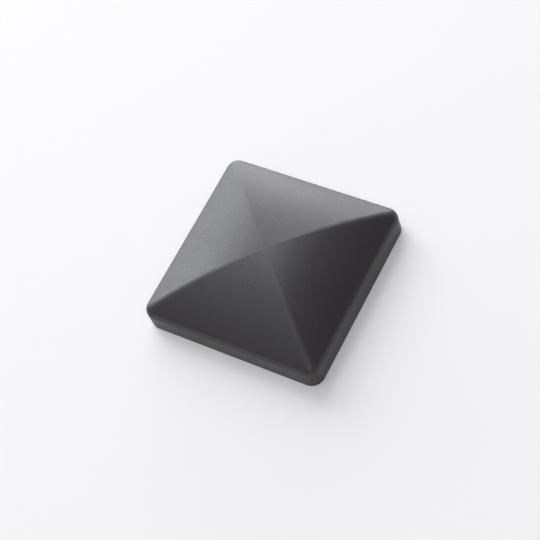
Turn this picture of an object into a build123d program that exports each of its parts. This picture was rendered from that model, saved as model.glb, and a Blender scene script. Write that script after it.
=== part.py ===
from build123d import *
import math
import os

# Square post cap with a domed hip roof, in millimetres. It is one hollow shell that slips
# over the top of a post. +Z is up, and the origin is the middle of the rim plane, on the
# post's own axis. The four sides face +X, -X, +Y and -Y.

# The post the cap goes over, and the gap left between post and wall on each side
post_side = 89.0
post_gap = 1.0

# The shell has one wall thickness from the rim to the top
wall = 2.5

# Outer form, measured to the sharp corners that the blends replace
cap_height = 25.4
skirt_height = 12.3

# Blends, as radii on the inside of the shell. The outside ones are larger by the wall.
hip_inside_radius = 4.0
corner_inside_radius = 4.0
eave_inside_radius = 1.5

# The rim: a small radius outside, and a bevel inside that leads the post in
rim_radius = 0.4
lead_in = 0.6

# What follows from those sizes
socket_side = post_side + 2 * post_gap
cap_side = socket_side + 2 * wall
crown_rise = cap_height - skirt_height
crown_radius = ((cap_side / 2) ** 2 + crown_rise**2) / (2 * crown_rise)


# Upright section through the middle: two straight walls under an arc that is level at the top
def crown_section(side, height, radius):
    half = side / 2
    eave = height - radius + math.sqrt(radius**2 - half**2)
    with BuildSketch(Plane.XZ) as section:
        with BuildLine():
            Polyline((-half, eave), (-half, 0), (half, 0), (half, eave))
            ThreePointArc((half, eave), (0, height), (-half, eave))
        make_face()
    return section.sketch


# The hips run from the eaves up to the middle of the top, and nothing else reaches it
def hip_edges(block, height):
    top = Vector(0, 0, height)
    return block.edges().filter_by(lambda edge: min((edge @ 0 - top).length, (edge @ 1 - top).length) < 0.01)


# The eaves run round the block where its upright faces end at the roof
def eave_edges(block):
    upright_faces = block.faces().filter_by(lambda face: abs(face.normal_at().Z) < 0.01)
    round_edges = upright_faces.edges() - upright_faces.edges().filter_by(Axis.Z)
    return round_edges - block.faces().sort_by(Axis.Z)[0].edges()


# Two arched bars crossed at right angles share only the domed square block, and their four
# curved tops meet along the hips. The hips are blended first and fade out at the top, then
# the upright corners, and last the eaves in one run over both.
def domed_block(side, height, radius, growth):
    bar = extrude(crown_section(side, height, radius), amount=side / 2, both=True)
    block = bar & bar.rotate(Axis.Z, 90)
    block = fillet(hip_edges(block, height), hip_inside_radius + growth)
    block = fillet(block.edges().filter_by(Axis.Z), corner_inside_radius + growth)
    return fillet(eave_edges(block), eave_inside_radius + growth)


# The space inside is the same form, smaller by the wall in every direction
def hollow_cap():
    outside = domed_block(cap_side, cap_height, crown_radius, wall)
    inside = domed_block(socket_side, cap_height - wall, crown_radius - wall, 0)
    return outside - inside


# Rounds the outer edge of the rim and bevels the inner one
def finish_rim(shell):
    outer_edges = shell.faces().sort_by(Axis.Z)[0].outer_wire().edges()
    rounded = fillet(outer_edges, rim_radius)
    inner_edges = rounded.faces().sort_by(Axis.Z)[0].inner_wires()[0].edges()
    return chamfer(inner_edges, lead_in)


post_cap = finish_rim(hollow_cap())

os.makedirs("parts", exist_ok=True)
export_step(post_cap, "parts/post_cap.step")
print("cap side", cap_side, "crown radius", round(crown_radius, 2), "volume", round(post_cap.volume, 1))
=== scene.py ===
from math import cos, pi, radians, sin

import bpy
from mathutils import Matrix, Vector

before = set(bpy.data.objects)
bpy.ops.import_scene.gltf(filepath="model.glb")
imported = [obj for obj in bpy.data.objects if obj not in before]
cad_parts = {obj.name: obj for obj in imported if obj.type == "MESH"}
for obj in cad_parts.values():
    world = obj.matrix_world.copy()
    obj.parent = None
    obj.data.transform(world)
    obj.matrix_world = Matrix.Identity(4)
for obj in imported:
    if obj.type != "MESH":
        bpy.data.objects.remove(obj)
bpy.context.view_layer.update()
bpy.ops.object.select_all(action="DESELECT")
print("frame loaded:", ", ".join(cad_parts))


# The camera stands where the photograph's did, measured on the cap itself.
# Lengths are in metres and angles in degrees, here and below.

cameraView = {
    "lens": 99.5,  # mm, as the sensor is
    "sensor": 36,
    "azimuth": -41.19,  # turned from looking along +Y, anticlockwise from above
    "elevation": 57.47,
    "roll": -24.51,
    "aim": (-0.00438, -0.00194, 0.01292),
    "distance": 0.7185,
    "clipStart": 0.05,
    "clipEnd": 20,
}


def addCamera(view):
    turn = Matrix.Rotation(radians(view["azimuth"]), 4, "Z")
    tilt = Matrix.Rotation(radians(90 - view["elevation"]), 4, "X")
    roll = Matrix.Rotation(radians(view["roll"]), 4, "Z")
    pose = turn @ tilt @ roll
    back = pose @ Vector((0, 0, 1))
    place = Vector(view["aim"]) + back * view["distance"]
    bpy.ops.object.camera_add(location=place, rotation=pose.to_euler())
    camera = bpy.context.object
    camera.name = "photoCamera"
    camera.data.lens = view["lens"]
    camera.data.sensor_width = view["sensor"]
    camera.data.clip_start = view["clipStart"]
    camera.data.clip_end = view["clipEnd"]
    bpy.context.scene.camera = camera


addCamera(cameraView)
print("camera placed")


# Steps that the materials and the world share

def addMath(nodes, links, operation, first, second):
    step = nodes.new("ShaderNodeMath")
    step.operation = operation
    links.new(first, step.inputs[0])
    links.new(second, step.inputs[1])
    return step.outputs["Value"]


def addRange(nodes, links, value, fromEnds, toEnds, interpolation="LINEAR"):
    # past either of the first ends, the result stays at the matching second one
    step = nodes.new("ShaderNodeMapRange")
    step.interpolation_type = interpolation
    step.inputs["From Min"].default_value, step.inputs["From Max"].default_value = fromEnds
    step.inputs["To Min"].default_value, step.inputs["To Max"].default_value = toEnds
    links.new(value, step.inputs["Value"])
    return step.outputs["Result"]


def seenShare(nodes, links, glossShare=None):
    # 1 for what the camera and glass see, 1 or glossShare for what gloss sees, 0 for the light on the cap
    path = nodes.new("ShaderNodeLightPath")
    gloss = path.outputs["Is Glossy Ray"]
    if glossShare is not None:
        gloss = addMath(nodes, links, "MULTIPLY", gloss, glossShare)
    seen = addMath(nodes, links, "MAXIMUM", path.outputs["Is Camera Ray"], path.outputs["Is Transmission Ray"])
    return addMath(nodes, links, "MAXIMUM", seen, gloss)


# Fine-textured black powder coat, for the whole cap

coatFinish = {
    "pitColour": (0.0108, 0.0080, 0.0088, 1),  # low spots of the grain
    "crestColour": (0.0202, 0.0149, 0.0165, 1),  # and its high ones
    "roughness": 0.45,
    "grainRoughness": 0.06,  # how far the grain moves the roughness, either way
    "cloudRoughness": 0.02,  # and the slow unevenness of the spray
    "ior": 1.6,
    "grainSize": 0.0008,  # across one grain
    "grainHeight": 0.00011,
    "grainDetail": 3,  # finer layers in the grain
    "grainFineness": 0.6,  # how strong each of them is beside the one before
    "cloudSize": 0.03,
    "cloudDetail": 1,
    "noiseSpan": (0.3, 0.7),  # noise keeps near 0.5, so this part is stretched over the whole range
}


def makePowderCoat(finish):
    coat = bpy.data.materials.new("powderCoat")
    coat.use_nodes = True
    nodes = coat.node_tree.nodes
    links = coat.node_tree.links
    shader = nodes["Principled BSDF"]
    shader.inputs["IOR"].default_value = finish["ior"]

    place = nodes.new("ShaderNodeTexCoord")
    grain = nodes.new("ShaderNodeTexNoise")
    grain.inputs["Scale"].default_value = 1 / finish["grainSize"]
    grain.inputs["Detail"].default_value = finish["grainDetail"]
    grain.inputs["Roughness"].default_value = finish["grainFineness"]
    links.new(place.outputs["Object"], grain.inputs["Vector"])
    cloud = nodes.new("ShaderNodeTexNoise")
    cloud.inputs["Scale"].default_value = 1 / finish["cloudSize"]
    cloud.inputs["Detail"].default_value = finish["cloudDetail"]
    links.new(place.outputs["Object"], cloud.inputs["Vector"])

    tint = nodes.new("ShaderNodeValToRGB")
    pit, crest = tint.color_ramp.elements
    pit.position, crest.position = finish["noiseSpan"]
    pit.color, crest.color = finish["pitColour"], finish["crestColour"]
    links.new(grain.outputs["Fac"], tint.inputs["Fac"])
    links.new(tint.outputs["Color"], shader.inputs["Base Color"])

    # the grain's crests are smoother than its pits
    middle, grainPart, cloudPart = finish["roughness"], finish["grainRoughness"], finish["cloudRoughness"]
    grainEnds = (middle + grainPart, middle - grainPart)
    ofGrain = addRange(nodes, links, grain.outputs["Fac"], finish["noiseSpan"], grainEnds)
    ofCloud = addRange(nodes, links, cloud.outputs["Fac"], finish["noiseSpan"], (-cloudPart, cloudPart))
    links.new(addMath(nodes, links, "ADD", ofGrain, ofCloud), shader.inputs["Roughness"])

    bump = nodes.new("ShaderNodeBump")
    bump.inputs["Strength"].default_value = 1
    bump.inputs["Distance"].default_value = finish["grainHeight"]
    links.new(grain.outputs["Fac"], bump.inputs["Height"])
    links.new(bump.outputs["Normal"], shader.inputs["Normal"])
    return coat


powderCoat = makePowderCoat(coatFinish)
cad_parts["post_cap"].material_slots[0].material = powderCoat
print("cap coated")


# Pale floor and a white backdrop, in a dim room

stageSetup = {
    "floorSize": 12,
    "floorDrop": 0.0002,  # how far the paper lies under the rim plane
    "floorColour": (0.91, 0.889, 0.849, 1),
    "floorRoughness": 0.9,
    "backdropColour": (0.98, 0.975, 1, 1),
    "backdropStrength": 1,  # plain white
    "whiteNear": 0.18,  # how far the paper, as it is seen, is backdrop beside the cap
    "whiteReach": (0.5, 2.2),  # that share grows from the first distance, and is all of it at the second
    "glossHeight": (0.2, 0.4),  # sines of the heights where gloss goes over from backdrop to room
    "roomColour": (0.915, 0.935, 1, 1),
    "roomStrength": 0.10,
}


def addFloor(setup):
    bpy.ops.mesh.primitive_plane_add(size=setup["floorSize"], location=(0, 0, -setup["floorDrop"]))
    floor = bpy.context.object
    floor.name = "floor"
    paper = bpy.data.materials.new("floorPaper")
    paper.use_nodes = True
    nodes = paper.node_tree.nodes
    links = paper.node_tree.links
    shader = nodes["Principled BSDF"]
    shader.inputs["Base Color"].default_value = setup["floorColour"]
    shader.inputs["Roughness"].default_value = setup["floorRoughness"]
    white = nodes.new("ShaderNodeEmission")
    white.inputs["Color"].default_value = setup["backdropColour"]
    white.inputs["Strength"].default_value = setup["backdropStrength"]

    # only what is seen goes white, and the light that the paper throws on the cap doesn't
    place = nodes.new("ShaderNodeTexCoord")
    away = nodes.new("ShaderNodeVectorMath")
    away.operation = "LENGTH"
    links.new(place.outputs["Object"], away.inputs[0])
    whiteEnds = (setup["whiteNear"], 1)
    whiteness = addRange(nodes, links, away.outputs["Value"], setup["whiteReach"], whiteEnds, "SMOOTHSTEP")
    share = addMath(nodes, links, "MULTIPLY", seenShare(nodes, links), whiteness)
    blend = nodes.new("ShaderNodeMixShader")
    links.new(share, blend.inputs["Fac"])
    links.new(shader.outputs["BSDF"], blend.inputs[1])
    links.new(white.outputs["Emission"], blend.inputs[2])
    links.new(blend.outputs["Shader"], nodes["Material Output"].inputs["Surface"])
    floor.data.materials.append(paper)


def addWorld(setup):
    world = bpy.data.worlds.new("studioWorld")
    world.use_nodes = True
    bpy.context.scene.world = world
    nodes = world.node_tree.nodes
    links = world.node_tree.links
    room = nodes["Background"]
    room.inputs["Color"].default_value = setup["roomColour"]
    room.inputs["Strength"].default_value = setup["roomStrength"]
    white = nodes.new("ShaderNodeBackground")
    white.inputs["Color"].default_value = setup["backdropColour"]
    white.inputs["Strength"].default_value = setup["backdropStrength"]

    # in gloss the backdrop is a low wall all round, because white overhead would grey the cap's dark faces
    place = nodes.new("ShaderNodeTexCoord")
    height = nodes.new("ShaderNodeSeparateXYZ")
    links.new(place.outputs["Generated"], height.inputs["Vector"])
    wall = addRange(nodes, links, height.outputs["Z"], setup["glossHeight"], (1, 0), "SMOOTHSTEP")
    pick = nodes.new("ShaderNodeMixShader")
    links.new(seenShare(nodes, links, wall), pick.inputs["Fac"])
    links.new(room.outputs["Background"], pick.inputs[1])
    links.new(white.outputs["Background"], pick.inputs[2])
    links.new(pick.outputs["Shader"], nodes["World Output"].inputs["Surface"])


addFloor(stageSetup)
addWorld(stageSetup)
print("floor and world ready")


# Softboxes in a ring, all aimed at the cap. Azimuth runs from +X towards +Y, and glow is the
# brightness of the box's own face, where plain white is 1.

lampDistance = 3.9
plainWhite = (0.92, 0.93, 1)
coolWhite = (0.905, 0.941, 1)
lampSetup = {
    "backStrip": {
        "azimuth": 71, "elevation": 7, "width": 2.0, "height": 0.8, "glow": 6.66, "colour": coolWhite,
    },
    "rightStrip": {
        "azimuth": 26, "elevation": 7, "width": 2.0, "height": 0.8, "glow": 11.99, "colour": plainWhite,
    },
    "hipStrip": {
        "azimuth": 48, "elevation": 10, "width": 1.1, "height": 1.2, "glow": 6.50, "colour": coolWhite,
    },
    "backSoftbox": {
        "azimuth": 66, "elevation": 29, "width": 2.0, "height": 1.5, "glow": 7.25, "colour": coolWhite,
    },
    "rightSoftbox": {
        "azimuth": 28, "elevation": 30, "width": 2.0, "height": 1.5, "glow": 3.54, "colour": plainWhite,
    },
    "topSoftbox": {
        "azimuth": 46, "elevation": 53, "width": 2.1, "height": 1.5, "glow": 3.58, "colour": plainWhite,
    },
    "overheadSoftbox": {
        "azimuth": 80, "elevation": 74, "width": 2.1, "height": 1.8, "glow": 1.57, "colour": plainWhite,
    },
    "leftSoftbox": {
        "azimuth": 128, "elevation": 54, "width": 2.0, "height": 1.8, "glow": 1.13, "colour": plainWhite,
    },
    "eaveFill": {
        "azimuth": 152, "elevation": 16, "width": 1.8, "height": 1.3, "glow": 1.00, "colour": plainWhite,
    },
    "frontSoftbox": {
        "azimuth": 230, "elevation": 60, "width": 2.2, "height": 1.8, "glow": 3.07, "colour": plainWhite,
    },
    "sideFill": {
        "azimuth": 330, "elevation": 22, "width": 2.4, "height": 1.4, "glow": 0.56, "colour": plainWhite,
    },
}


def addLamp(name, lamp):
    turn = radians(lamp["azimuth"])
    lift = radians(lamp["elevation"])
    away = Vector((cos(lift) * cos(turn), cos(lift) * sin(turn), sin(lift)))
    aim = (-away).to_track_quat("-Z", "Y")
    bpy.ops.object.light_add(type="AREA", location=away * lampDistance, rotation=aim.to_euler())
    light = bpy.context.object
    light.name = name
    light.visible_camera = False
    light.data.color = lamp["colour"]
    light.data.shape = "RECTANGLE"
    light.data.size = lamp["width"]
    light.data.size_y = lamp["height"]
    light.data.energy = lamp["glow"] * pi * lamp["width"] * lamp["height"]


for lampName, lamp in lampSetup.items():
    addLamp(lampName, lamp)
print("lamps placed")

bpy.context.scene.view_settings.view_transform = "Standard"
